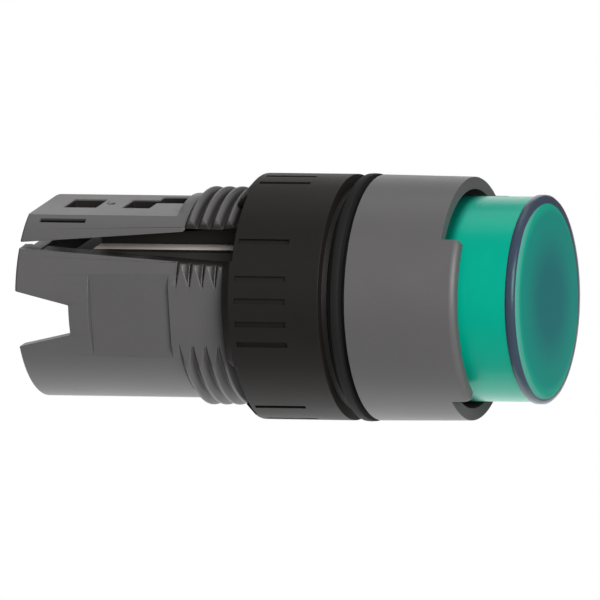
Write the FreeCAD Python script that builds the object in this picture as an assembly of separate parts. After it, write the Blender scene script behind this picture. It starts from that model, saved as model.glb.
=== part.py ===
import FreeCAD, Part

import math
import os

# Illuminated push button head for a 16 mm panel hole, with a projecting transparent cap.
# X is the button axis with the cap towards +X, Z is up, and -Y is the side shown to the viewer.
# The origin is on the axis, in the plane where the front of the panel meets the gasket.
# All sizes are in millimetres, and every station is counted along X.

# Clearances shared by pieces that fit together
running_gap = 0.2
fit_gap = 0.05
press_gap = 0.02

# Button movement
travel = 3.0

# Bezel in one piece with the sleeve, whose diameter sets the width of the whole head
bezel_diameter = 18.0
bezel_length = 8.45
bezel_wall = 1.0
bezel_floor = 1.2
bezel_edge = 0.25
bezel_front_edge = 0.5
bezel_draft = 0.1
tab_height = 1.45
tab_half_angle = 43.5
tab_turn = 1.5
tab_corner = 0.5

# Threaded sleeve, with ridges where the nut leaves it bare and plain beneath the nut
bezel_shoulder = 1.0
thread_length = 12.0
thread_pitch = 1.0
thread_depth = 0.55
bare_ridges = 5
thread_flat_gap = 0.85

# Skirt behind the thread, which takes the contact block
skirt_length = 12.5
skirt_step = 0.5
skirt_wall = 1.2
skirt_edge = 0.3
side_recess_depth = 0.65
side_recess_start = 5.7
side_recess_length = 6.15
socket_depth = 5.0

# Sprung arm along the top of the skirt
arm_flat_depth = 0.85
arm_flat_length = 11.6
slot_drop = 2.62
slot_rear_width = 0.4
slot_front_width = 2.5
slot_length = 17.5
window_length = 2.5
window_width = 2.65
window_shift = 0.4
window_start = 1.95
catch_start = 6.5
catch_length = 2.1
catch_tail_length = 2.2
catch_tail_width = 1.9
dimple_radius = 0.3
dimple_start = 5.2
slit_start = 1.1
slit_length = 3.55
slit_width = 0.4
slit_depth = 0.4
slit_angle = 60.0

# Keyed notches at the rear end of the skirt
notch_depth = 4.15
notch_mouth = 4.2
notch_floor = 2.25
notch_height = -0.3

# Locating pocket under the skirt
pocket_start = 5.0
pocket_length = 3.8
pocket_width = 2.4
pocket_depth = 0.35
pocket_rib = 0.9

# Cross bar in the skirt's mouth, just below the arm
bar_start = 0.6
bar_length = 1.1
bar_height = 1.75

# Guide rib inside the sleeve
guide_width = 1.2
guide_height = 0.6
guide_start = 8.0
guide_length = 9.5

# Stop lip inside the sleeve
stop_length = 1.0
stop_depth = 0.55
stop_setback = 4.0

# Panel gasket
gasket_thickness = 1.5
gasket_overhang = 0.08
gasket_rib = 0.3

# Mounting nut
nut_length = 8.1
nut_overhang = 0.02
nut_setback = 0.1
nut_chamfer = 0.75
nut_front_step = 0.4
nut_notch_count = 4
nut_notch_angle = 38.0
nut_notch_depth = 0.9
nut_turn = 3.3
groove_length = 3.9
groove_start = 1.25
groove_width = 0.4
groove_depth = 0.22
groove_step = 10.4
groove_places = (-1.7, -0.7, 0.35, 1.3, 5.2)

# Transparent cap
cap_projection = 4.4
cap_gap = 0.5
cap_wall = 0.7
cap_rim_step = 0.15
cap_rim_thickness = 0.9
cap_front_wall = 1.1
cap_edge = 0.28
cap_bead = 0.15

# Diffuser and lens carrier
diffuser_thickness = 0.45
carrier_flange_thickness = 1.4
carrier_neck_gap = 0.7
carrier_neck_wall = 1.0
seal_section = 0.56
seal_sides = 4

# Plunger sleeve behind the carrier
plunger_flat_depth = 1.9
plunger_hump_width = 3.2
plunger_hump_depth = 0.4
spigot_length = 4.0
spigot_wall = 0.35

# Return spring, sealing boot and clamp ring
spring_wire = 0.45
spring_turns = 4.0
spring_steps = 16
wire_sides = 5
clamp_thickness = 0.5
boot_bead = 0.8
boot_bead_width = 0.85
boot_web = 0.3
boot_cuff = 1.0
boot_cuff_setback = 1.1

# Radii and stations worked out from the sizes above
V = FreeCAD.Vector
bezel_r = bezel_diameter / 2
bezel_bore_r = bezel_r - bezel_wall
thread_r = bezel_r - bezel_shoulder
skirt_r = thread_r - skirt_step
bore_r = skirt_r - skirt_wall
stop_r = bore_r - stop_depth
nut_r = bezel_r + nut_overhang
gasket_r = bezel_r + gasket_overhang

rear_x = -thread_length - skirt_length
bezel_rear_x = gasket_thickness
bezel_front_x = bezel_rear_x + bezel_length
floor_x = bezel_rear_x + bezel_floor
stop_front_x = -stop_setback
stop_rear_x = stop_front_x - stop_length
arm_flat_z = skirt_r - arm_flat_depth
slot_z = skirt_r - slot_drop

cap_front_x = bezel_front_x + cap_projection
cap_inner_x = cap_front_x - cap_front_wall
cap_r = bezel_bore_r - cap_gap
cap_bore_r = cap_r - cap_wall
rim_r = cap_r + cap_rim_step

clamp_rear_x = floor_x + boot_bead
clamp_front_x = clamp_rear_x + clamp_thickness
cap_rear_x = clamp_front_x + travel + 2 * running_gap

diffuser_front_x = cap_inner_x - fit_gap
diffuser_rear_x = diffuser_front_x - diffuser_thickness
flange_front_x = diffuser_rear_x
flange_rear_x = flange_front_x - carrier_flange_thickness
flange_r = cap_bore_r - 2 * fit_gap
neck_r = bore_r - carrier_neck_gap
carrier_bore_r = neck_r - carrier_neck_wall
neck_rear_x = stop_rear_x - 2 * fit_gap

plunger_r = bore_r - running_gap
plunger_rear_x = rear_x + socket_depth
spigot_r = carrier_bore_r - fit_gap
lamp_r = spigot_r - spigot_wall
spring_r = (neck_r + cap_bore_r - cap_bead) / 2


def segment_path(points):
    """Closed wire through points; a point given as a pair of points is an arc's middle and end."""
    edges = []
    here = V(points[0][0], 0, points[0][1])
    for step in list(points[1:]) + [points[0]]:
        if isinstance(step[0], tuple):
            middle = V(step[0][0], 0, step[0][1])
            there = V(step[1][0], 0, step[1][1])
            edges.append(Part.Arc(here, middle, there).toShape())
        else:
            there = V(step[0], 0, step[1])
            edges.append(Part.LineSegment(here, there).toShape())
        here = there
    return Part.Wire(edges)


def turned(points):
    """Solid of revolution about X from a closed outline of (x, radius) points."""
    face = Part.Face(segment_path(points))
    return Part.Solid(face.revolve(V(0, 0, 0), V(1, 0, 0), 360).Shells[0])


def side_prism(points, half_width):
    """Prism across Y from a closed outline of (x, z) points."""
    face = Part.Face(segment_path(points))
    prism = face.extrude(V(0, 2 * half_width, 0))
    prism.translate(V(0, -half_width, 0))
    return prism


def block(x0, x1, y0, y1, z0, z1):
    """Box between two corners."""
    return Part.makeBox(x1 - x0, y1 - y0, z1 - z0, V(x0, y0, z0))


def turn_about_x(shape, degrees):
    """Copy of a shape turned about the button axis."""
    copy = shape.copy()
    copy.rotate(V(0, 0, 0), V(1, 0, 0), degrees)
    return copy


def mirrored(shape):
    """Copy of a shape on the other side of the XZ plane."""
    return shape.mirror(V(0, 0, 0), V(0, 1, 0))


def wedge(x0, x1, half_angle, reach):
    """Wedge along X that opens towards +Z with the given half angle."""
    half = reach * math.tan(math.radians(half_angle))
    corners = [V(x0, 0, 0), V(x0, half, reach), V(x0, -half, reach), V(x0, 0, 0)]
    return Part.Face(Part.makePolygon(corners)).extrude(V(x1 - x0, 0, 0))


def thread_ridges():
    """Zigzag of the bare ridges, whose last crest runs on as the plain sleeve."""
    points = []
    for ridge in range(bare_ridges):
        ridge_x = ridge * thread_pitch - thread_length
        points.append((ridge_x, thread_r - thread_depth))
        points.append((ridge_x + thread_pitch / 2, thread_r))
    return points


def barrel_blank():
    """Turned form of the skirt, the sleeve and the bezel with the stepped bore."""
    skirt = [(rear_x, bore_r), (rear_x, skirt_r - skirt_edge), (rear_x + skirt_edge, skirt_r)]
    skirt.append((-thread_length, skirt_r))
    rim_edge_r = bezel_r - bezel_draft
    return turned(skirt + thread_ridges() + [
        (bezel_rear_x, thread_r),
        (bezel_rear_x, bezel_r - bezel_edge),
        (bezel_rear_x + bezel_edge, bezel_r),
        (bezel_front_x - bezel_front_edge, rim_edge_r),
        (bezel_front_x, rim_edge_r - bezel_front_edge / 2),
        (bezel_front_x, bezel_bore_r),
        (floor_x, bezel_bore_r),
        (floor_x, bore_r),
        (stop_front_x, bore_r),
        (stop_front_x, stop_r),
        (stop_rear_x, stop_r),
        (stop_rear_x, bore_r),
    ])


def tab_cutter():
    """Wedge with rounded flanks that cuts one gap between the two bezel tabs."""
    cut_x = bezel_front_x - tab_height
    cutter = wedge(cut_x, bezel_front_x + 1, 90 - tab_half_angle, bezel_diameter)
    flanks = []
    for edge in cutter.Edges:
        ends = [v.Point for v in edge.Vertexes]
        at_floor = all(abs(p.x - cut_x) < 1e-6 for p in ends)
        from_axis = any(math.hypot(p.y, p.z) < 1e-6 for p in ends)
        if at_floor and from_axis:
            flanks.append(edge)
    return cutter.makeFillet(tab_corner, flanks)


def arm_slot():
    """Wedge that splits the arm from the skirt on both sides, widest at its rounded front end."""
    front_x = rear_x + slot_length
    rear_half = slot_rear_width / 2
    front_half = slot_front_width / 2
    start_x = rear_x - 1
    top = (front_x, slot_z + front_half)
    tip = (front_x + front_half, slot_z)
    bottom = (front_x, slot_z - front_half)
    outline = [
        (start_x, slot_z - rear_half),
        (rear_x, slot_z - rear_half),
        bottom,
        (tip, top),
        (rear_x, slot_z + rear_half),
        (start_x, slot_z + rear_half),
    ]
    return side_prism(outline, bezel_r)


def rear_notch():
    """Tapered notch through both side walls at the rear end of the skirt."""
    start_x = rear_x - 1
    floor_notch_x = rear_x + notch_depth
    taper = (notch_mouth - notch_floor) / 2 / notch_depth
    mouth_half = notch_mouth / 2 + taper
    outline = [
        (start_x, notch_height - mouth_half),
        (floor_notch_x, notch_height - notch_floor / 2),
        (floor_notch_x, notch_height + notch_floor / 2),
        (start_x, notch_height + mouth_half),
    ]
    return side_prism(outline, bezel_r)


def arm_openings():
    """Windows, dimple and side slits of the arm, where the contact block latches."""
    low = bore_r - stop_depth
    high = thread_r + 1
    x0 = rear_x + window_start
    y0 = window_shift - window_width / 2
    cuts = [block(x0, x0 + window_length, y0, y0 + window_width, low, high)]
    x1 = rear_x + catch_start
    x2 = x1 + catch_length
    cuts.append(block(x1, x2, y0, y0 + window_width, low, high))
    y1 = y0 + window_width + catch_tail_width / 2
    cuts.append(block(x2 - fit_gap, x2 + catch_tail_length, y1 - catch_tail_width, y1, low, high))
    dimple_at = V(rear_x + dimple_start, window_shift, arm_flat_z - dimple_radius)
    cuts.append(Part.makeCylinder(dimple_radius, 1.0, dimple_at))
    x3 = rear_x + slit_start
    slit = block(x3, x3 + slit_length, -slit_width / 2, slit_width / 2, skirt_r - slit_depth, high)
    for angle in (90 - slit_angle, slit_angle - 90):
        cuts.append(turn_about_x(slit, angle))
    return cuts


def side_flats():
    """Flats along both sides of the thread and shallower recesses along the skirt."""
    flat_y = thread_r - thread_flat_gap
    recess_y = skirt_r - side_recess_depth
    reach = bezel_r + 1
    x0 = rear_x + side_recess_start
    flat = block(x0 + side_recess_length, 0, flat_y, reach, -reach, reach)
    recess = block(x0, x0 + side_recess_length, recess_y, reach, -reach, reach)
    return [flat, recess, mirrored(flat), mirrored(recess)]


def locating_pockets():
    """Two short pockets side by side under the skirt with a rib between them."""
    x0 = rear_x + pocket_start
    x1 = x0 + pocket_length
    middle = (x0 + x1) / 2
    top = pocket_depth - skirt_r
    half = pocket_width / 2
    rear_pocket = block(x0, middle - pocket_rib / 2, -half, half, -bezel_r, top)
    front_pocket = block(middle + pocket_rib / 2, x1, -half, half, -bezel_r, top)
    return [rear_pocket, front_pocket]


def mouth_bar():
    """Bar across the skirt's mouth that ties its sides together below the free arm."""
    x0 = rear_x + bar_start
    top = slot_z - slot_rear_width / 2 - fit_gap
    bar = block(x0, x0 + bar_length, -skirt_r, skirt_r, top - bar_height, top)
    reach_r = skirt_r - skirt_wall / 2
    return bar.common(Part.makeCylinder(reach_r, bar_length, V(x0, 0, 0), V(1, 0, 0)))


def guide_rib():
    """Rib along the bottom of the bore that keeps the plunger from turning."""
    x0 = rear_x + guide_start
    foot = -bore_r - fit_gap
    return block(x0, x0 + guide_length, -guide_width / 2, guide_width / 2, foot, guide_height - bore_r)


def barrel():
    """Bezel, threaded sleeve and rear skirt with its sprung arm, moulded in one."""
    body = barrel_blank()
    cutter = turn_about_x(tab_cutter(), tab_turn)
    cuts = [cutter, turn_about_x(cutter, 180), arm_slot(), rear_notch()]
    reach = bezel_r + 1
    top_flat = block(rear_x - 1, rear_x + arm_flat_length, -reach, reach, arm_flat_z, reach)
    cuts += [top_flat] + arm_openings() + side_flats() + locating_pockets()
    return body.cut(cuts).fuse([mouth_bar(), guide_rib()])


def panel_gasket():
    """Rubber ring between the bezel and the panel, with a rib round the middle of its edge."""
    inner = thread_r + fit_gap
    edge_r = gasket_r - gasket_rib
    return turned([
        (0, inner),
        (0, edge_r),
        (gasket_thickness / 2, gasket_r),
        (gasket_thickness, edge_r),
        (gasket_thickness, inner),
    ])


def mounting_nut():
    """Ring nut with a castellated rear end and short grooves on its rim."""
    front_x = -nut_setback
    back_x = front_x - nut_length
    inner = thread_r + fit_gap
    nut = turned([
        (back_x, inner),
        (back_x, nut_r - nut_chamfer),
        (back_x + nut_chamfer, nut_r),
        (front_x - nut_front_step, nut_r),
        (front_x - nut_front_step, nut_r - nut_front_step),
        (front_x, nut_r - nut_front_step),
        (front_x, inner),
    ])
    pitch = 360 / nut_notch_count
    notch = wedge(back_x - 1, back_x + nut_notch_depth, nut_notch_angle / 2, 2 * nut_r)
    x0 = back_x + groove_start
    half = groove_width / 2
    groove = block(x0, x0 + groove_length, -half, half, nut_r - groove_depth, nut_r + 1)
    cuts = []
    for corner in range(nut_notch_count):
        pad_angle = 90 - nut_turn + corner * pitch
        cuts.append(turn_about_x(notch, pad_angle + pitch / 2))
        for place in groove_places:
            cuts.append(turn_about_x(groove, pad_angle + place * groove_step))
    return nut.cut(cuts)


def lens_cap():
    """Transparent cap with a wider front disc and a snap bead inside its skirt."""
    bead_front_x = flange_rear_x - fit_gap
    bead_rear_x = bead_front_x - cap_wall
    return turned([
        (cap_front_x, 0),
        (cap_front_x, rim_r - cap_edge),
        (cap_front_x - cap_edge, rim_r),
        (cap_front_x - cap_rim_thickness, rim_r),
        (cap_front_x - cap_rim_thickness, cap_r),
        (cap_rear_x, cap_r),
        (cap_rear_x, cap_bore_r),
        (bead_rear_x, cap_bore_r),
        (bead_front_x, cap_bore_r - cap_bead),
        (bead_front_x, cap_bore_r),
        (cap_inner_x, cap_bore_r),
        (cap_inner_x, 0),
    ])


def diffuser_disc():
    """Thin translucent disc that spreads the lamp's light behind the cap."""
    disc_at = V(diffuser_rear_x, 0, 0)
    return Part.makeCylinder(flange_r - fit_gap, diffuser_thickness, disc_at, V(1, 0, 0))


def lens_carrier():
    """Hollow neck with a grooved flange that holds the cap."""
    groove_half = (seal_section + fit_gap) / 2
    middle = (flange_front_x + flange_rear_x) / 2
    groove_r = flange_r - seal_section + fit_gap
    return turned([
        (neck_rear_x, carrier_bore_r),
        (neck_rear_x, neck_r),
        (flange_rear_x, neck_r),
        (flange_rear_x, flange_r),
        (middle - groove_half, flange_r),
        (middle - groove_half, groove_r),
        (middle + groove_half, groove_r),
        (middle + groove_half, flange_r),
        (flange_front_x, flange_r),
        (flange_front_x, carrier_bore_r),
    ])


def lens_seal():
    """O-ring in the groove of the carrier's flange, with a faceted section."""
    middle = (flange_front_x + flange_rear_x) / 2
    ring_r = seal_section / 2
    centre_r = cap_bore_r - press_gap - ring_r
    corners = []
    for corner in range(seal_sides):
        angle = 2 * math.pi * corner / seal_sides
        corners.append((middle + ring_r * math.sin(angle), centre_r + ring_r * math.cos(angle)))
    return turned(corners)


def plunger():
    """Flat-topped sleeve that slides in the bore and works the contact block behind it."""
    front_x = neck_rear_x
    body = turned([
        (plunger_rear_x, lamp_r),
        (plunger_rear_x, plunger_r - skirt_edge),
        (plunger_rear_x + skirt_edge, plunger_r),
        (front_x, plunger_r),
        (front_x, spigot_r),
        (front_x + spigot_length, spigot_r),
        (front_x + spigot_length, lamp_r),
    ])
    hump_half = plunger_hump_width / 2
    x0 = plunger_rear_x - 1
    x1 = front_x
    flat_z = plunger_r - plunger_flat_depth
    low_left = block(x0, x1, -bore_r, -hump_half, flat_z, bore_r)
    above = block(x0, x1, -bore_r, bore_r, plunger_r - plunger_hump_depth, bore_r)
    key_half = guide_width / 2 + running_gap
    key_top = guide_height - bore_r + running_gap
    keyway = block(x0, x1, -key_half, key_half, -bore_r, key_top)
    return body.cut([low_left, mirrored(low_left), above, keyway])


def clamp_ring():
    """Ring pressed into the bezel that holds the boot's bead and seats the spring."""
    inner = spring_r - spring_wire / 2 - fit_gap
    outer = bezel_bore_r - press_gap
    return turned([
        (clamp_rear_x, inner),
        (clamp_rear_x, outer),
        (clamp_front_x, outer),
        (clamp_front_x, inner),
    ])


def sealing_boot():
    """Rubber boot with an outer bead, a thin rolling web and a cuff round the carrier's neck."""
    cuff_inner = neck_r + fit_gap
    cuff_outer = bore_r - running_gap
    cuff_front_x = floor_x - boot_cuff_setback
    cuff_rear_x = cuff_front_x - boot_cuff
    bead_inner = bezel_bore_r - fit_gap - boot_bead_width
    front_x = floor_x + boot_web
    return turned([
        (floor_x, bezel_bore_r - fit_gap),
        (clamp_rear_x, bezel_bore_r - fit_gap),
        (clamp_rear_x, bead_inner),
        (front_x, bead_inner),
        (front_x, cuff_outer - boot_web),
        (cuff_front_x, cuff_outer - boot_web),
        (cuff_front_x, cuff_inner),
        (cuff_rear_x, cuff_inner),
        (cuff_rear_x, cuff_outer),
        (floor_x, cuff_outer),
    ])


def return_spring():
    """Compression spring round the carrier's neck, lofted through faceted wire sections."""
    wire_r = spring_wire / 2
    start_x = clamp_front_x + wire_r + press_gap
    rise = flange_rear_x - clamp_front_x - spring_wire - 2 * press_gap
    steps = round(spring_turns * spring_steps)
    sections = []
    for step in range(steps + 1):
        centre_x = start_x + rise * step / steps
        corners = []
        for corner in range(wire_sides + 1):
            angle = 2 * math.pi * (corner % wire_sides) / wire_sides
            corners.append(V(centre_x + wire_r * math.cos(angle), 0, spring_r + wire_r * math.sin(angle)))
        sections.append(turn_about_x(Part.makePolygon(corners), 360 * step / spring_steps))
    return Part.makeLoft(sections, True, True)


pieces = {
    "barrel": barrel,
    "panel_gasket": panel_gasket,
    "mounting_nut": mounting_nut,
    "lens_cap": lens_cap,
    "diffuser_disc": diffuser_disc,
    "lens_carrier": lens_carrier,
    "lens_seal": lens_seal,
    "plunger": plunger,
    "clamp_ring": clamp_ring,
    "sealing_boot": sealing_boot,
    "return_spring": return_spring,
}

os.makedirs("parts", exist_ok=True)
for name, make in pieces.items():
    shape = make()
    shape.exportStep(f"parts/{name}.step")
    print(name, shape.ShapeType, shape.isValid(), len(shape.Solids), round(shape.Volume, 2))
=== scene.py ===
# %% [markdown]
# # An illuminated push button head
# The object is the front part of a panel-mounted push button: a dark grey moulding with a bezel, a threaded
# sleeve and a slotted skirt, a black ring nut, a rubber gasket and a transparent green cap. The solids of
# the real part are loaded first. Each piece that shows is then dressed, or modelled again in finer detail.

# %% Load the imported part
import math
import bmesh
import bpy
from mathutils import Matrix, Vector


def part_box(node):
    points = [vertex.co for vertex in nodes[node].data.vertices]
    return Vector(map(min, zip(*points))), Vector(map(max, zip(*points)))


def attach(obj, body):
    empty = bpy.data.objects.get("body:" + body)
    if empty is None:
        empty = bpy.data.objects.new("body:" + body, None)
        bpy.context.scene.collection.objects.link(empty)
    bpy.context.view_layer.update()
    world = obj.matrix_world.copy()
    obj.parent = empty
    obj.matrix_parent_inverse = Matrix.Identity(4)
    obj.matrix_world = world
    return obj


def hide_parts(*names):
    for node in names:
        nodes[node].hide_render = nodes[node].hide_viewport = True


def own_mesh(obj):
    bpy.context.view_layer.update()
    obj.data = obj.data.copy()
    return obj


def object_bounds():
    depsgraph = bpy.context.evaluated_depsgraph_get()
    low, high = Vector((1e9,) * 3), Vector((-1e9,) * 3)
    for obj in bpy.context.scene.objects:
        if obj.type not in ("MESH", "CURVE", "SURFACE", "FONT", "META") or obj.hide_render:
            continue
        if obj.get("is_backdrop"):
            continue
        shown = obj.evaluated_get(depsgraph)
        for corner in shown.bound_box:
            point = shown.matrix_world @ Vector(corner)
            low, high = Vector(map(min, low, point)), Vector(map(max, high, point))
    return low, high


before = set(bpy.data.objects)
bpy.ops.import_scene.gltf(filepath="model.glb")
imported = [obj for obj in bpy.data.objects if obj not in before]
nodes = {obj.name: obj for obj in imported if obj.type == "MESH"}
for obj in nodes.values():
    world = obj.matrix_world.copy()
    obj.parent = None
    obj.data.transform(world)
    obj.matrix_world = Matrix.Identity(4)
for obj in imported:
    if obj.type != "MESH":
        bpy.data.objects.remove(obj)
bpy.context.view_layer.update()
MM = 0.001
print("solids:", ", ".join(sorted(nodes)))

# %% [markdown]
# ## Where the pieces lie
# Every station is read from the solids' own boxes, so a new piece lands where the part says. The button axis
# is X, the cap points to +X, and the panel plane is at zero.

# %% Stations and radii read from the solids
barrel_low, barrel_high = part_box("barrel")
gasket_low, gasket_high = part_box("panel_gasket")
nut_low, nut_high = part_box("mounting_nut")
cap_low, cap_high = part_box("lens_cap")
spring_low, spring_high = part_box("return_spring")
CIRCLE_POINTS = 126
REAR = barrel_low.x
BEZEL_R = barrel_high.z
BEZEL_FRONT = barrel_high.x
BEZEL_REAR = gasket_high.x
print("bezel radius", round(BEZEL_R / MM, 2), "mm, front at", round(BEZEL_FRONT / MM, 2), "mm")

# %% [markdown]
# ## Hand tools
# Modelling by script goes wrong when an operator acts on something that was left selected. These short tools
# clear the selection first. A turned piece starts as a circle that is extruded and resized from station to
# station, as a person would do with E and S, and that gives clean rings of faces with no seam.


# %% Selection and placing
def only(piece):
    """Leaves just this piece selected and active."""
    bpy.ops.object.select_all(action="DESELECT")
    piece.select_set(True)
    bpy.context.view_layer.objects.active = piece


def settle(piece):
    """Moves a piece's place, turn and size into its mesh."""
    only(piece)
    bpy.ops.object.transform_apply(location=True, rotation=True, scale=True)
    return piece


def face_outwards(piece):
    """Turns every face of a closed piece outwards."""
    only(piece)
    bpy.ops.object.mode_set(mode="EDIT")
    bpy.ops.mesh.select_all(action="SELECT")
    bpy.ops.mesh.remove_doubles(threshold=0.002 * MM)
    bpy.ops.mesh.normals_make_consistent(inside=False)
    bpy.ops.object.mode_set(mode="OBJECT")
    return piece


# %% A turned piece
def turned(name, stations, hollow=True):
    """Circle extruded along X through (x, radius) stations; a hollow one closes on itself."""
    x, radius = stations[0]
    bpy.ops.object.select_all(action="DESELECT")
    turn = (0, math.pi / 2, 0)
    bpy.ops.mesh.primitive_circle_add(
        vertices=CIRCLE_POINTS, radius=radius, location=(x, 0, 0), rotation=turn
    )
    piece = settle(bpy.context.object)
    piece.name = name
    bpy.ops.object.mode_set(mode="EDIT")
    bpy.ops.mesh.select_all(action="SELECT")
    for next_x, next_radius in stations[1:]:
        bpy.ops.mesh.extrude_region_move(TRANSFORM_OT_translate={"value": (next_x - x, 0, 0)})
        size = next_radius / radius
        bpy.ops.transform.resize(value=(1, size, size), center_override=(next_x, 0, 0))
        x, radius = next_x, next_radius
    bpy.ops.mesh.select_all(action="DESELECT")
    bpy.ops.mesh.select_non_manifold()
    if hollow:
        bpy.ops.mesh.bridge_edge_loops()
    else:
        bpy.ops.mesh.fill_holes(sides=0)
    bpy.ops.object.mode_set(mode="OBJECT")
    return face_outwards(piece)


# %% Cutting blocks and boolean cuts
def block(low, high, narrow_face=None, narrow=(1, 1, 1)):
    """Cube between two corners; the face on narrow_face's side can be made smaller or larger."""
    middle = [(a + b) / 2 for a, b in zip(low, high)]
    size = [b - a for a, b in zip(low, high)]
    bpy.ops.object.select_all(action="DESELECT")
    bpy.ops.mesh.primitive_cube_add(size=1, location=middle, scale=size)
    piece = settle(bpy.context.object)
    if narrow_face is not None:
        bpy.ops.object.mode_set(mode="EDIT")
        bpy.ops.mesh.select_all(action="DESELECT")
        shape = bmesh.from_edit_mesh(piece.data)
        for face in shape.faces:
            if face.normal.dot(Vector(narrow_face)) > 0.9:
                face.select_set(True)
        bmesh.update_edit_mesh(piece.data)
        bpy.ops.transform.resize(value=narrow)
        bpy.ops.object.mode_set(mode="OBJECT")
    return piece


def swung(piece, degrees):
    """Turns a piece about the button axis."""
    only(piece)
    piece.rotation_euler = (math.radians(degrees), 0, 0)
    return settle(piece)


def cut(piece, tools, operation="DIFFERENCE"):
    """Cuts each tool from the piece, or adds it with UNION, and throws the tool away."""
    for tool in tools:
        modifier = piece.modifiers.new("cut", "BOOLEAN")
        modifier.operation = operation
        modifier.object = tool
        modifier.solver = "EXACT"
        only(piece)
        bpy.ops.object.modifier_apply(modifier=modifier.name)
        bpy.data.objects.remove(tool, do_unlink=True)
    return piece


def soften(piece, width, sharper_than=32):
    """Merges points that a cut left almost together, then rounds the edges as a mould leaves them."""
    only(piece)
    bpy.ops.object.mode_set(mode="EDIT")
    bpy.ops.mesh.select_all(action="SELECT")
    bpy.ops.mesh.remove_doubles(threshold=0.02 * MM)
    bpy.ops.object.mode_set(mode="OBJECT")
    bpy.ops.object.shade_smooth()
    modifier = piece.modifiers.new("soft edges", "BEVEL")
    modifier.width = width
    modifier.segments = 2
    modifier.limit_method = "ANGLE"
    modifier.angle_limit = math.radians(sharper_than)
    modifier.use_clamp_overlap = False
    modifier.harden_normals = False
    bpy.ops.object.modifier_apply(modifier=modifier.name)
    return piece


def shade_evenly(piece, sharper_than=32):
    """Shades across shallow edges only, and lets the large faces rule there."""
    only(piece)
    bpy.ops.object.shade_smooth_by_angle(angle=math.radians(sharper_than))
    evened = piece.modifiers.new("even shading", "WEIGHTED_NORMAL")
    evened.keep_sharp = True
    bpy.ops.object.modifier_apply(modifier=evened.name)
    print(piece.name, "has", len(piece.data.polygons), "faces")
    return piece


def press_flat(piece, x):
    """Presses what a bevel pushed out behind the end plane at x back into that plane."""
    only(piece)
    bpy.ops.object.mode_set(mode="EDIT")
    bpy.ops.mesh.select_all(action="DESELECT")
    shape = bmesh.from_edit_mesh(piece.data)
    for point in shape.verts:
        if point.co.x < x:
            point.select_set(True)
    bmesh.update_edit_mesh(piece.data)
    bpy.ops.transform.resize(value=(0, 1, 1), center_override=(x, 0, 0))
    bpy.ops.object.mode_set(mode="OBJECT")
    return piece


# %% [markdown]
# ## The moulded barrel
# Bezel, threaded sleeve and rear skirt are one moulding, so it is one piece here too. It is turned first,
# with the stepped bore in the same outline. The slots, windows and notches are then cut with plain blocks,
# as the mould's slides would form them. The round and the cuts stay exact that way, and a fine bevel at the
# end gives every edge the soft line that light catches on moulded plastic.

# %% Sizes of the barrel
SKIRT_R = 7.5 * MM
ROOT_R = 7.45 * MM
THREAD_R = 8.0 * MM
BORE_R = 6.3 * MM
STOP_R = 5.75 * MM
STOP_REAR = -5.0 * MM
STOP_FRONT = -4.0 * MM
BEZEL_BORE_R = 8.0 * MM
THREAD_START = REAR + 12.5 * MM
PITCH = 1.0 * MM
BEZEL_FLOOR = BEZEL_REAR + 1.2 * MM
TAB_HEIGHT = 1.45 * MM
TAB_HALF_ANGLE = 43.5
TAB_TURN = 1.5
ARM_TOP = 6.7 * MM
SLOT_Z = 4.88 * MM
SLOT_HALF = 1.25 * MM
SLOT_LENGTH = 17.5 * MM
SLOT_REAR_SHARE = 0.136
NOTCH_DEPTH = 4.15 * MM
NOTCH_CENTRE = -0.3 * MM
NOTCH_HALF = 2.15 * MM
NOTCH_TAPER = 0.52
FAR = 12 * MM


# %% Turn the blank with its thread
def thread_stations():
    """Ridges of the thread, each with a narrow crest and root as a moulded thread has."""
    stations = [(THREAD_START, SKIRT_R), (THREAD_START, ROOT_R)]
    ridge = THREAD_START
    while ridge + 1.5 * PITCH < 0:
        stations.append((ridge + 0.40 * PITCH, THREAD_R))
        stations.append((ridge + 0.60 * PITCH, THREAD_R))
        ridge += PITCH
        stations.append((ridge - 0.06 * PITCH, ROOT_R))
        if ridge + 1.5 * PITCH < 0:
            stations.append((ridge + 0.06 * PITCH, ROOT_R))
    return stations


barrel = turned("barrel_moulding", [
    (BEZEL_FLOOR, BORE_R),
    (STOP_FRONT, BORE_R),
    (STOP_FRONT, STOP_R),
    (STOP_REAR, STOP_R),
    (STOP_REAR, BORE_R),
    (REAR, BORE_R),
    (REAR, SKIRT_R - 0.15 * MM),
    (REAR + 0.15 * MM, SKIRT_R),
] + thread_stations() + [
    (BEZEL_REAR, ROOT_R),
    (BEZEL_REAR, BEZEL_R),
    (BEZEL_FRONT - 0.5 * MM, BEZEL_R - 0.1 * MM),
    (BEZEL_FRONT - 0.15 * MM, BEZEL_R - 0.2 * MM),
    (BEZEL_FRONT, BEZEL_R - 0.35 * MM),
    (BEZEL_FRONT, BEZEL_BORE_R),
    (BEZEL_FLOOR, BEZEL_BORE_R),
])
print("barrel blank:", len(barrel.data.polygons), "faces")

# %% [markdown]
# The two front tabs are what is left between a wide gap at the top and one at the bottom. The gap's tool is
# a block that widens away from the axis, so its flanks would meet on the axis and the tabs' ends are square
# to the bezel's wall.


# %% Cut the bezel's gaps, the arm's slots and the rear notches
def gap_tool(turn):
    """Block that widens outwards and leaves the bezel's tabs standing."""
    inner = 2 * MM
    half = inner * math.tan(math.radians(90 - TAB_HALF_ANGLE))
    low = (BEZEL_FRONT - TAB_HEIGHT, -half, inner)
    high = (BEZEL_FRONT + 2 * MM, half, FAR)
    widen = FAR / inner
    return swung(block(low, high, (0, 0, 1), (1, widen, 1)), turn + TAB_TURN)


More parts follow.
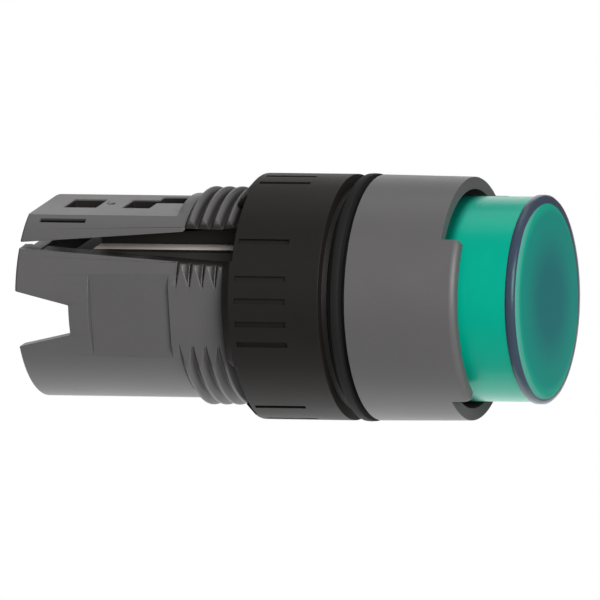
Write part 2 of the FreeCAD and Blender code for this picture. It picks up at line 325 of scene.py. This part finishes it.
def slot_tool():
    """Wedge through both sides that frees the sprung arm, almost closed at the rear end."""
    low = (REAR - 0.5 * MM, -FAR, SLOT_Z - SLOT_HALF)
    high = (REAR + SLOT_LENGTH, FAR, SLOT_Z + SLOT_HALF)
    return block(low, high, (-1, 0, 0), (1, 1, SLOT_REAR_SHARE))


def rod(radius, length, place, turn=(0, 0, 0)):
    """Round cutter for drilled places and for the rounded end of a slot."""
    bpy.ops.object.select_all(action="DESELECT")
    bpy.ops.mesh.primitive_cylinder_add(
        vertices=48, radius=radius, depth=length, location=place, rotation=turn
    )
    return settle(bpy.context.object)


def notch_tool():
    """Tapered notch through both sides at the rear end."""
    low = (REAR - 0.2 * MM, -FAR, NOTCH_CENTRE - NOTCH_HALF)
    high = (REAR + NOTCH_DEPTH, FAR, NOTCH_CENTRE + NOTCH_HALF)
    return block(low, high, (1, 0, 0), (1, 1, NOTCH_TAPER))


slot_end = rod(SLOT_HALF, 2 * FAR, (REAR + SLOT_LENGTH, 0, SLOT_Z), (math.pi / 2, 0, 0))
cut(barrel, [gap_tool(0), gap_tool(180), slot_tool(), slot_end, notch_tool()])
print("after the gaps, slots and notches:", len(barrel.data.polygons), "faces")

# %% [markdown]
# The arm has a flat top with two windows, where the contact block latches, and fine slits along its sides.
# The thread and the skirt have flats on both sides that keep the head from turning in its hole. A bar across
# the skirt's mouth ties its two sides together below the arm, which stays free to bend.


# %% Cut the arm's top, windows and slits, and the side flats
RECESS_START = 5.7
RECESS_END = 11.85
SLIT_ANGLE = 31.43
SIDE = FAR / MM


def at_rear(x0, x1, y0, y1, z0, z1):
    """Block whose X places are counted from the rear end, in millimetres."""
    low = (REAR + x0 * MM, y0 * MM, z0 * MM)
    high = (REAR + x1 * MM, y1 * MM, z1 * MM)
    return block(low, high)


def beside(side, x0, x1, inner, z0, z1):
    """Block on one side that takes away what lies further out than a distance from the middle."""
    near, far = sorted((side * inner, side * SIDE))
    return at_rear(x0, x1, near, far, z0, z1)


arm_flat = at_rear(-1, 11.6, -SIDE, SIDE, ARM_TOP / MM, SIDE)
latch_window = at_rear(1.95, 4.45, -0.925, 1.725, 5.8, 9)
catch_window = at_rear(6.5, 8.6, -0.925, 1.725, 5.8, 9)
catch_corner = at_rear(8.55, 10.8, 0.775, 2.675, 5.8, 9)
tools = [arm_flat, latch_window, catch_window, catch_corner]
for side in (-1, 1):
    thread_flat = beside(side, RECESS_END, -REAR / MM - 0.3, 7.15, -SIDE, SIDE)
    recess = beside(side, RECESS_START, RECESS_END, 6.85, -SIDE, SIDE)
    arm_ledge = beside(side, 12.45, 18, 4.4, 5.5, 6.6)
    slit = swung(at_rear(1.1, 4.65, -0.2, 0.2, 7.1, 9), side * SLIT_ANGLE)
    tools += [thread_flat, recess, arm_ledge, slit]
for start in (5.0, 7.35):
    bottom_pocket = at_rear(start, start + 1.45, -1.2, 1.2, -9, -7.15)
    tools.append(bottom_pocket)
arm_dimple = rod(0.3 * MM, 1 * MM, (REAR + 5.2 * MM, 0.4 * MM, 7.0 * MM))
cut(barrel, tools + [arm_dimple])
mouth_bar = at_rear(0.6, 1.7, -5.75, 5.75, 2.88, 4.63)
cut(barrel, [mouth_bar], operation="UNION")
soften(barrel, 0.06 * MM)
press_flat(barrel, REAR)
shade_evenly(barrel)
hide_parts("barrel")
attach(barrel, "housing")

# %% [markdown]
# ## The ring nut
# The nut is turned too. Four notches in its rear end take a tightening tool, and short grooves on its rim
# give fingers a hold. One groove tool is swung round the axis for each place, which keeps them all alike.
# The notches are rounded first and the grooves are cut last, because a groove's edge can lie so close to an
# edge of the ring that a bevel between them would fold over.

# %% Turn and cut the nut
NUT_REAR = nut_low.x
NUT_FRONT = nut_high.x
NUT_R = nut_high.z
NUT_BORE_R = 8.05 * MM
NUT_TURN = 3.3
GROOVE_STEP = 10.4
GROOVE_PLACES = (-1.7, -0.7, 0.35, 1.3, 5.2)
GROOVE_DEPTH = 0.22 * MM
GROOVE_HALF = 0.2 * MM
NUT_NOTCH_HALF_ANGLE = 19
NUT_NOTCH_DEPTH = 0.9 * MM
nut = turned("ring_nut", [
    (NUT_REAR, NUT_BORE_R),
    (NUT_REAR, NUT_R - 0.75 * MM),
    (NUT_REAR + 0.75 * MM, NUT_R),
    (NUT_FRONT - 0.4 * MM, NUT_R),
    (NUT_FRONT - 0.4 * MM, NUT_R - 0.8 * MM),
    (NUT_FRONT, NUT_R - 0.8 * MM),
    (NUT_FRONT, NUT_BORE_R),
])
notches = []
grooves = []
for corner in range(4):
    pad = 90 - NUT_TURN + 90 * corner
    inner = 3 * MM
    half = math.tan(math.radians(NUT_NOTCH_HALF_ANGLE)) * inner
    low = (NUT_REAR - 1 * MM, -half, inner)
    high = (NUT_REAR + NUT_NOTCH_DEPTH, half, FAR)
    notch = block(low, high, (0, 0, 1), (1, FAR / inner, 1))
    notches.append(swung(notch, pad + 45))
    for place in GROOVE_PLACES:
        low = (NUT_REAR + 1.25 * MM, -GROOVE_HALF, NUT_R - GROOVE_DEPTH)
        high = (NUT_REAR + 5.15 * MM, GROOVE_HALF, FAR)
        grooves.append(swung(block(low, high), pad + place * GROOVE_STEP))
cut(nut, notches)
soften(nut, 0.06 * MM)
cut(nut, grooves)
shade_evenly(nut)
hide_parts("mounting_nut")
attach(nut, "nut")

# %% [markdown]
# ## The gasket
# A thin rubber ring. A rib runs round the middle of its rim, so that the rubber sits a little back from its
# neighbours on both sides and two fine dark lines show there.

# %% Turn the gasket
GASKET_R = gasket_high.z
GASKET_BORE_R = 8.05 * MM
GASKET_NECK_R = GASKET_R - 0.7 * MM
thick = gasket_high.x - gasket_low.x
gasket = turned("rubber_gasket", [
    (0, GASKET_BORE_R),
    (0, GASKET_NECK_R),
    (0.18 * thick, GASKET_NECK_R),
    (0.3 * thick, GASKET_R - 0.02 * MM),
    (0.5 * thick, GASKET_R),
    (0.7 * thick, GASKET_R - 0.02 * MM),
    (0.78 * thick, GASKET_NECK_R),
    (thick, GASKET_NECK_R),
    (thick, GASKET_BORE_R),
])
soften(gasket, 0.04 * MM, 50)
shade_evenly(gasket, 50)
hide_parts("panel_gasket")
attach(gasket, "housing")

# %% [markdown]
# ## The green cap
# The cap is a cup of clear green plastic. Light bends twice at its front disc, so the wall has to be a real
# wall with an inside, not one skin. The outline goes round the outside and back along the inside.

# %% Turn the cap
CAP_R = 7.5 * MM
RIM_R = 7.65 * MM
CAP_BORE_R = 6.8 * MM
CAP_MIDDLE_R = 2.0 * MM
CAP_FRONT = cap_high.x
CAP_REAR = cap_low.x
cap_inner = CAP_FRONT - 1.1 * MM
rim_rear = CAP_FRONT - 0.9 * MM
cap = turned("green_cap", [
    (CAP_FRONT, CAP_MIDDLE_R),
    (CAP_FRONT - 0.01 * MM, 4.5 * MM),
    (CAP_FRONT - 0.05 * MM, 6.6 * MM),
    (CAP_FRONT - 0.10 * MM, 7.2 * MM),
    (CAP_FRONT - 0.22 * MM, 7.5 * MM),
    (CAP_FRONT - 0.40 * MM, RIM_R),
    (rim_rear + 0.08 * MM, RIM_R),
    (rim_rear, RIM_R - 0.06 * MM),
    (rim_rear, CAP_R),
    (CAP_REAR, CAP_R),
    (CAP_REAR, CAP_BORE_R),
    (cap_inner - 0.15 * MM, CAP_BORE_R),
    (cap_inner, CAP_BORE_R - 0.15 * MM),
    (cap_inner, CAP_MIDDLE_R),
], hollow=False)
soften(cap, 0.03 * MM, 40)
shade_evenly(cap, 40)
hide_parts("lens_cap")
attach(cap, "button")

# %% [markdown]
# ## The return spring
# A spring is a wire on a helix. A curve with a round bevel makes it with few points, and it becomes a mesh
# at the end, so that its finish can follow its place. On the real part it shortens towards its rear end as
# the button goes in.

# %% Wind the spring
TURNS = 4
WIRE_R = 0.225 * MM
SPRING_R = spring_high.z - WIRE_R
POINTS_A_TURN = 24
bpy.ops.object.select_all(action="DESELECT")
bpy.ops.curve.primitive_nurbs_path_add()
spring = bpy.context.object
spring.name = "coil_spring"
spring.data.splines.clear()
line = spring.data.splines.new("POLY")
steps = TURNS * POINTS_A_TURN
line.points.add(steps)
first = spring_low.x + 1.2 * WIRE_R
rise = spring_high.x - spring_low.x - 2.4 * WIRE_R
for step, point in enumerate(line.points):
    angle = 2 * math.pi * step / POINTS_A_TURN
    x = first + rise * step / steps
    point.co = (x, -SPRING_R * math.sin(angle), SPRING_R * math.cos(angle), 1)
spring.data.bevel_depth = WIRE_R
spring.data.bevel_resolution = 3
spring.data.use_fill_caps = True
only(spring)
bpy.ops.object.convert(target="MESH")
settle(spring)
bpy.ops.object.shade_smooth()
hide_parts("return_spring")
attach(spring, "housing")
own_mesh(spring)
print("spring:", len(spring.data.polygons), "faces")

# %% [markdown]
# ## Finishes as sums
# A material is easier to read as a sum than as a web of nodes. The small class below wraps a socket, so that
# two fields can be added or multiplied with the usual signs, and one method makes any other node.


# %% The field class and the node maker
class Field:
    """A socket whose value varies over a surface and which can take part in a sum."""

    def __init__(self, finish, socket):
        self.finish = finish
        self.socket = socket

    def _sum(self, operation, first, second):
        return self.finish.node("ShaderNodeMath", {"operation": operation}, {0: first, 1: second})

    def __add__(self, other):
        return self._sum("ADD", self, other)

    def __radd__(self, other):
        return self._sum("ADD", other, self)

    def __sub__(self, other):
        return self._sum("SUBTRACT", self, other)

    def __rsub__(self, other):
        return self._sum("SUBTRACT", other, self)

    def __mul__(self, other):
        return self._sum("MULTIPLY", self, other)

    def __rmul__(self, other):
        return self._sum("MULTIPLY", other, self)

    def root(self):
        """Square root of the field."""
        return self._sum("SQRT", self, 0.0)


class Finish:
    """A material in the making, with its surface shader."""

    def __init__(self, name):
        self.material = bpy.data.materials.new(name)
        self.material.use_nodes = True
        self.tree = self.material.node_tree
        self.tree.nodes.clear()
        self.output = self.tree.nodes.new("ShaderNodeOutputMaterial")

    def node(self, kind, settings=None, sockets=None, out=0):
        """Makes a node, sets it, fills its sockets with values or links and returns an output."""
        made = self.tree.nodes.new(kind)
        for key, value in (settings or {}).items():
            setattr(made, key, value)
        for key, value in (sockets or {}).items():
            if isinstance(value, Field):
                self.tree.links.new(value.socket, made.inputs[key])
            else:
                made.inputs[key].default_value = value
        return Field(self, made.outputs[out])

    def place(self):
        """The point on the piece, in metres, in the part's own frame."""
        return self.node("ShaderNodeTexCoord", out="Object")

    def noise(self, scale, detail, stretch=None):
        """Noise from 0 to 1, scaled per metre, and drawn out along an axis if asked."""
        place = self.place()
        if stretch:
            place = self.node("ShaderNodeMapping", {}, {"Vector": place, "Scale": stretch})
        sockets = {"Vector": place, "Scale": scale, "Detail": detail, "Roughness": 0.55}
        return self.node("ShaderNodeTexNoise", {}, sockets, out=0)

    def parts(self, place):
        """The three coordinates of a place: along the button axis, across it and up."""
        kind = "ShaderNodeSeparateXYZ"
        return [self.node(kind, {}, {0: place}, out=axis) for axis in range(3)]

    def from_axis(self, across, up, shift=0.0):
        """Distance from the button axis, or from a line that is shifted across."""
        sideways = across - shift
        return (sideways * sideways + up * up).root()

    def above(self, value, limit):
        """One where a field is above a limit, otherwise zero."""
        return self.node("ShaderNodeMath", {"operation": "GREATER_THAN"}, {0: value, 1: limit})

    def below(self, value, limit):
        """One where a field is not above a limit, otherwise zero."""
        return 1 - self.above(value, limit)

    def ramp(self, value, low, high):
        """Rises smoothly from zero at low to one at high."""
        settings = {"interpolation_type": "SMOOTHSTEP"}
        sockets = {"Value": value, "From Min": low, "From Max": high}
        return self.node("ShaderNodeMapRange", settings, sockets)

    def blend(self, factor, first, second):
        """Colour between two colours by a field."""
        settings = {"data_type": "RGBA", "blend_type": "MIX"}
        return self.node("ShaderNodeMix", settings, {0: factor, 6: first, 7: second}, out=2)

    def bump(self, height, distance):
        """Surface direction from a height field, with the relief's real depth in metres."""
        sockets = {"Height": height, "Distance": distance, "Strength": 1.0}
        return self.node("ShaderNodeBump", {}, sockets)

    def surface(self, **sockets):
        """The principled surface; names use underscores for spaces."""
        named = {key.replace("_", " "): value for key, value in sockets.items()}
        shader = self.node("ShaderNodeBsdfPrincipled", {}, named)
        self.tree.links.new(shader.socket, self.output.inputs["Surface"])
        return self.material


def wear(piece, material):
    """Gives a piece its only material."""
    piece.data.materials.clear()
    piece.data.materials.append(material)


# %% [markdown]
# ## Moulded plastic
# Moulded plastic is never one flat colour. A fine spark-eroded texture breaks up the highlight, a slow
# cloud shifts the shade a little where the melt flowed, and the gloss varies with both. Painted shade
# darkens the barrel inside its skirt and in the roots of its thread, where little light gets in.


# %% Moulded plastic
GRAIN = 0.004 * MM
INNER_WALL_R = 7.3 * MM
INNER_WALL_SIDE = 6.7 * MM
INNER_WALL_LOW = 1.9 * MM
DARK_ROOT_R = 7.6 * MM
LIGHT_CREST_R = 7.92 * MM
THREAD_SIDE = 7.1 * MM


def painted_skirt_shade(finish, along, across, up):
    """Painted shade mask: one on the skirt's inner faces beside the arm, otherwise zero."""
    spread = finish.from_axis(across, up)
    mask = finish.below(spread, INNER_WALL_R) * finish.above(along, REAR + 0.1 * MM)
    mask = mask * finish.below(across * across, INNER_WALL_SIDE ** 2)
    return mask * finish.above(up, INNER_WALL_LOW) * finish.below(up, ARM_TOP - 0.1 * MM)


def painted_root_shade(finish, along, across, up):
    """Painted shade mask: rises to one in the thread's roots, less so on the underside, which light from
    below reaches.
    """
    spread = finish.from_axis(across, up)
    mask = (1 - finish.ramp(spread, DARK_ROOT_R, LIGHT_CREST_R)) * finish.above(along, THREAD_START)
    mask = mask * finish.above(THREAD_SIDE ** 2 - across * across, 0.0) * finish.below(along, 0.0)
    # The painted shade is weaker towards the underside, where light comes from below.
    return mask * (0.3 + 0.6 * finish.ramp(up, -5 * MM, 2 * MM))


def moulded(name, dark, light, gloss, hollow=None, bend=1.5):
    """Satin plastic between two shades; hollow is painted shade for the barrel's hollows, bend is the
    light's index.
    """
    finish = Finish(name)
    cloud = finish.noise(160, 3)
    speckle = finish.noise(5200, 2)
    fleck = finish.noise(1500, 2)
    shade = cloud * 0.6 + speckle * 0.4
    colour = finish.blend(shade, (*dark, 1), (*light, 1))
    if hollow is not None:
        along, across, up = finish.parts(finish.place())
        # Painted shade inside the skirt and in the thread's roots.
        for mask in (painted_skirt_shade, painted_root_shade):
            colour = finish.blend(mask(finish, along, across, up), colour, (*hollow, 1))
    roughness = gloss + 0.12 * (cloud - 0.5) + 0.10 * (speckle - 0.5)
    height = speckle * 0.7 + fleck * 0.3
    normal = finish.bump(height, GRAIN)
    return finish.surface(Base_Color=colour, Roughness=roughness, Normal=normal, IOR=bend)


GREY_DARK = (0.095, 0.092, 0.093)
GREY_LIGHT = (0.125, 0.121, 0.121)
# Colour of the painted shade in the barrel's hollows.
PAINTED_HOLLOW_SHADE = (0.013, 0.011, 0.010)
wear(barrel, moulded("grey_plastic", GREY_DARK, GREY_LIGHT, 0.46, hollow=PAINTED_HOLLOW_SHADE))
wear(nut, moulded("black_plastic", (0.007, 0.0055, 0.005), (0.013, 0.010, 0.009), 0.58, bend=1.38))
wear(nodes["clamp_ring"], moulded("ring_plastic", (0.05, 0.05, 0.05), (0.07, 0.07, 0.07), 0.5))
wear(nodes["lens_carrier"], moulded("carrier_plastic", (0.55, 0.56, 0.55), (0.62, 0.63, 0.62), 0.35))
wear(nodes["diffuser_disc"], moulded("diffuser_plastic", (0.7, 0.72, 0.74), (0.8, 0.82, 0.84), 0.5))


# %% [markdown]
# ## The slider behind the slot
# Through the tapered slot a pale strip shows with darkness above and below it. It is the flat top of the
# black slider, lit through the slot, and that light is painted: the finish turns pale only at that height.


# %% Black slider with painted light on its flat
FLAT_LOW = 4.14 * MM
FLAT_HIGH = 4.26 * MM
PAINTED_LIGHT_INNER = 1.7 * MM
PAINTED_LIGHT_OUTER = 3.5 * MM


def slider():
    """Black plastic with painted light on the flat along its top."""
    finish = Finish("slider_plastic")
    cloud = finish.noise(400, 3)
    _, across, up = finish.parts(finish.place())
    flat = finish.above(up, FLAT_LOW) * finish.below(up, FLAT_HIGH)
    sideways = (across * across).root()
    flat = flat * finish.above(sideways, PAINTED_LIGHT_INNER) * finish.below(sideways, PAINTED_LIGHT_OUTER)
    black = finish.blend(cloud, (0.012, 0.011, 0.010, 1), (0.02, 0.018, 0.016, 1))
    painted_light = finish.blend(cloud, (0.84, 0.77, 0.70, 1), (0.90, 0.83, 0.76, 1))
    # Painted light on the slider's flat top, where light falls in through the slot.
    colour = finish.blend(flat, black, painted_light)
    return finish.surface(Base_Color=colour, Roughness=0.45 + 0.1 * cloud)


wear(nodes["plunger"], slider())

# %% [markdown]
# ## Rubber and steel
# Rubber is nearly black, with a dull, slightly cloudy face. Spring wire is drawn through a die, so its marks
# run along the wire, which here means round the axis.


# %% Rubber and drawn wire
def rubber(name, shade):
    """Dull black rubber with a faint bloom."""
    finish = Finish(name)
    bloom = finish.noise(700, 4)
    pores = finish.noise(7000, 2)
    bloomed = (1.7 * shade, 1.7 * shade, 1.75 * shade, 1)
    colour = finish.blend(bloom, (shade, shade, shade, 1), bloomed)
    normal = finish.bump(pores, 0.006 * MM)
    roughness = 0.75 + 0.2 * (bloom - 0.5)
    return finish.surface(Base_Color=colour, Roughness=roughness, Normal=normal, IOR=1.35)


def drawn_wire(name):
    """Spring steel with fine drawing marks."""
    finish = Finish(name)
    marks = finish.noise(3000, 3, (8, 1, 1))
    colour = finish.blend(marks, (0.42, 0.41, 0.4, 1), (0.62, 0.61, 0.6, 1))
    return finish.surface(Base_Color=colour, Metallic=1.0, Roughness=0.25 + 0.15 * marks)


wear(gasket, rubber("gasket_rubber", 0.006))
wear(nodes["lens_seal"], rubber("seal_rubber", 0.014))
wear(nodes["sealing_boot"], rubber("boot_rubber", 0.02))
wear(spring, drawn_wire("spring_wire"))

# %% [markdown]
# ## Clear green plastic
# The cap is seen through, so its colour comes from light that passes into it and out again. Near the bezel
# it has painted shade, because little light reaches it there. Its front disc has a painted glint near the
# rim, and a painted dark reflection on the edge outside that, where light is trapped in the thick plastic.


# %% Clear green plastic
DISC_DEPTH = 1.0 * MM
FACE_R = (6.2 * MM, 6.9 * MM)
MIDDLE_R = (2.0 * MM, 6.0 * MM)
GLINT_R = (7.1 * MM, 7.3 * MM)
GLINT_SHIFT = 0.3 * MM
DARK_EDGE_R = 7.15 * MM
DARK_EDGE_SHIFT = -0.6 * MM
DARK_EDGE_RIM_R = 7.46 * MM
BEZEL_SHADE_LENGTH = 0.9 * MM


def clear_green():
    """Tinted clear plastic, bluer in the middle of the disc, with a painted glint and a painted dark edge
    round it.
    """
    finish = Finish("clear_green")
    cloud = finish.noise(220, 2)
    along, across, up = finish.parts(finish.place())
    spread = finish.from_axis(across, up)
    on_disc = finish.above(along, CAP_FRONT - DISC_DEPTH)
    face = on_disc * (1 - finish.ramp(spread, *FACE_R))
    middle = on_disc * (1 - finish.ramp(spread, *MIDDLE_R))
    glint = on_disc * finish.ramp(finish.from_axis(across, up, GLINT_SHIFT), *GLINT_R)
    painted_dark_edge = finish.above(finish.from_axis(across, up, DARK_EDGE_SHIFT), DARK_EDGE_R)
    edge = on_disc * (painted_dark_edge + finish.above(spread, DARK_EDGE_RIM_R))
    gap_floor = BEZEL_FRONT - TAB_HEIGHT
    painted_bezel_shade = 1 - finish.ramp(along, gap_floor, gap_floor + BEZEL_SHADE_LENGTH)
    green = finish.blend(cloud, (0.0, 0.58, 0.41, 1), (0.0, 0.66, 0.46, 1))
    # Painted shade on the cap near the bezel, where little light reaches it.
    green = finish.blend(0.85 * painted_bezel_shade, green, (0.0, 0.07, 0.055, 1))
    green = finish.blend(face, green, (0.0, 0.46, 0.38, 1))
    green = finish.blend(middle, green, (0.01, 0.28, 0.31, 1))
    # Painted glint near the rim of the disc.
    green = finish.blend(glint, green, (0.14, 0.62, 0.50, 1))
    # Painted dark reflection on the disc's edge.
    colour = finish.blend(edge, green, (0.08, 0.085, 0.15, 1))
    return finish.surface(
        Base_Color=colour,
        Roughness=0.29 + 0.06 * cloud,
        IOR=1.45,
        Transmission_Weight=0.45,
        Specular_IOR_Level=0.3,
        Specular_Tint=(0.45, 1.0, 0.85, 1),
        Coat_Weight=0.06,
        Coat_Roughness=0.08,
    )


wear(cap, clear_green())

# %% [markdown]
# ## Floor, light and camera
# A pale floor lies well below the head, as if it were held in the air, and the world is a soft white dome.
# Both are plain white where the camera sees them and give the head only a weak light. A large lamp stands in
# front, and weaker ones above, below and behind lift the edges and the arm's flat top.


# %% Backdrop
def backdrop(name, size, z):
    """Large pale floor that the camera itself sees as plain white."""
    bpy.ops.object.select_all(action="DESELECT")
    bpy.ops.mesh.primitive_plane_add(size=size, location=(0, 0, z))
    floor = settle(bpy.context.object)
    floor.name = name
    finish = Finish("pale_floor")
    plain = finish.node("ShaderNodeBsdfDiffuse", {}, {"Color": (0.85, 0.85, 0.85, 1)})
    bright = finish.node("ShaderNodeEmission", {}, {"Color": (1, 1, 1, 1), "Strength": 1.0})
    seen = finish.node("ShaderNodeLightPath", out="Is Camera Ray")
    mixed = finish.node("ShaderNodeMixShader", {}, {0: seen, 1: plain, 2: bright})
    finish.tree.links.new(mixed.socket, finish.output.inputs["Surface"])
    wear(floor, finish.material)
    floor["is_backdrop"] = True
    return floor


backdrop("pale_floor", 6.0, -0.35)

# %% Dome of the world
DOME_STRENGTH = 0.14
world = bpy.data.worlds.new("soft_dome")
bpy.context.scene.world = world
world.use_nodes = True
tree = world.node_tree
tree.nodes.clear()
paths = tree.nodes.new("ShaderNodeLightPath")
dome = tree.nodes.new("ShaderNodeBackground")
dome.inputs["Color"].default_value = (1, 1, 1, 1)
dome.inputs["Strength"].default_value = DOME_STRENGTH
white = tree.nodes.new("ShaderNodeBackground")
white.inputs["Color"].default_value = (1, 1, 1, 1)
white.inputs["Strength"].default_value = 1.0
choose = tree.nodes.new("ShaderNodeMixShader")
out = tree.nodes.new("ShaderNodeOutputWorld")
tree.links.new(paths.outputs["Is Camera Ray"], choose.inputs[0])
tree.links.new(dome.outputs[0], choose.inputs[1])
tree.links.new(white.outputs[0], choose.inputs[2])
tree.links.new(choose.outputs[0], out.inputs["Surface"])


# %% Lamps
def soft_lamp(name, place, aim, size, power):
    """Square area lamp that looks at a point."""
    light = bpy.data.lights.new(name, "AREA")
    light.size = size
    light.energy = power
    lamp = bpy.data.objects.new(name, light)
    bpy.context.collection.objects.link(lamp)
    lamp.location = place
    lamp.rotation_euler = (Vector(aim) - Vector(place)).to_track_quat("-Z", "Y").to_euler()
    return lamp


soft_lamp("key", (0.34, -0.41, 0.28), (0, 0, 0), 0.4, 4.4)
soft_lamp("overhead", (-0.10, 0.20, 0.45), (0, 0, 0), 0.3, 0.35)
soft_lamp("from_below", (-0.07, 0.114, -0.164), (0, 0, 0), 0.36, 0.54)
soft_lamp("behind", (-0.15, 0.42, 0.11), (0, 0, 0), 0.26, 0.28)

# %% [markdown]
# The camera looks through a long lens from the front right and a little above, and is turned slightly about
# its own axis, as in the photograph. The lens is as long as its distance asks for, so that the frame has the
# same width in millimetres at the head.

# %% Camera
AZIMUTH = math.radians(19.5)
ELEVATION = math.radians(12.5)
ROLL = math.radians(3.63)
DISTANCE = 2.0
FRAME_WIDTH = 43.92 * MM
SENSOR_WIDTH = 36
MIDDLE_FROM_REAR = 19.54 * MM
MIDDLE_DROP = 0.27 * MM
back = Vector((
    math.sin(AZIMUTH) * math.cos(ELEVATION),
    -math.cos(AZIMUTH) * math.cos(ELEVATION),
    math.sin(ELEVATION),
))
level_right = Vector((math.cos(AZIMUTH), math.sin(AZIMUTH), 0))
level_up = back.cross(level_right)
right = level_right * math.cos(ROLL) - level_up * math.sin(ROLL)
up = level_right * math.sin(ROLL) + level_up * math.cos(ROLL)
aim = Vector((REAR + MIDDLE_FROM_REAR, 0, 0)) - up * MIDDLE_DROP
lens = bpy.data.cameras.new("long_lens")
camera = bpy.data.objects.new("camera", lens)
bpy.context.collection.objects.link(camera)
lens.sensor_width = SENSOR_WIDTH
lens.lens = SENSOR_WIDTH * DISTANCE / FRAME_WIDTH
lens.clip_start = 0.01
camera.location = aim + back * DISTANCE
turn = [[right[i], up[i], back[i]] for i in range(3)]
camera.rotation_euler = Matrix(turn).to_euler()
bpy.context.scene.camera = camera
bpy.context.scene.view_settings.view_transform = "Standard"

# %% [markdown]
# ## Size
# Last, the box round every piece that shows is printed.

low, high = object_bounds()
print("box in mm:", [round(v / MM, 3) for v in list(low) + list(high)])
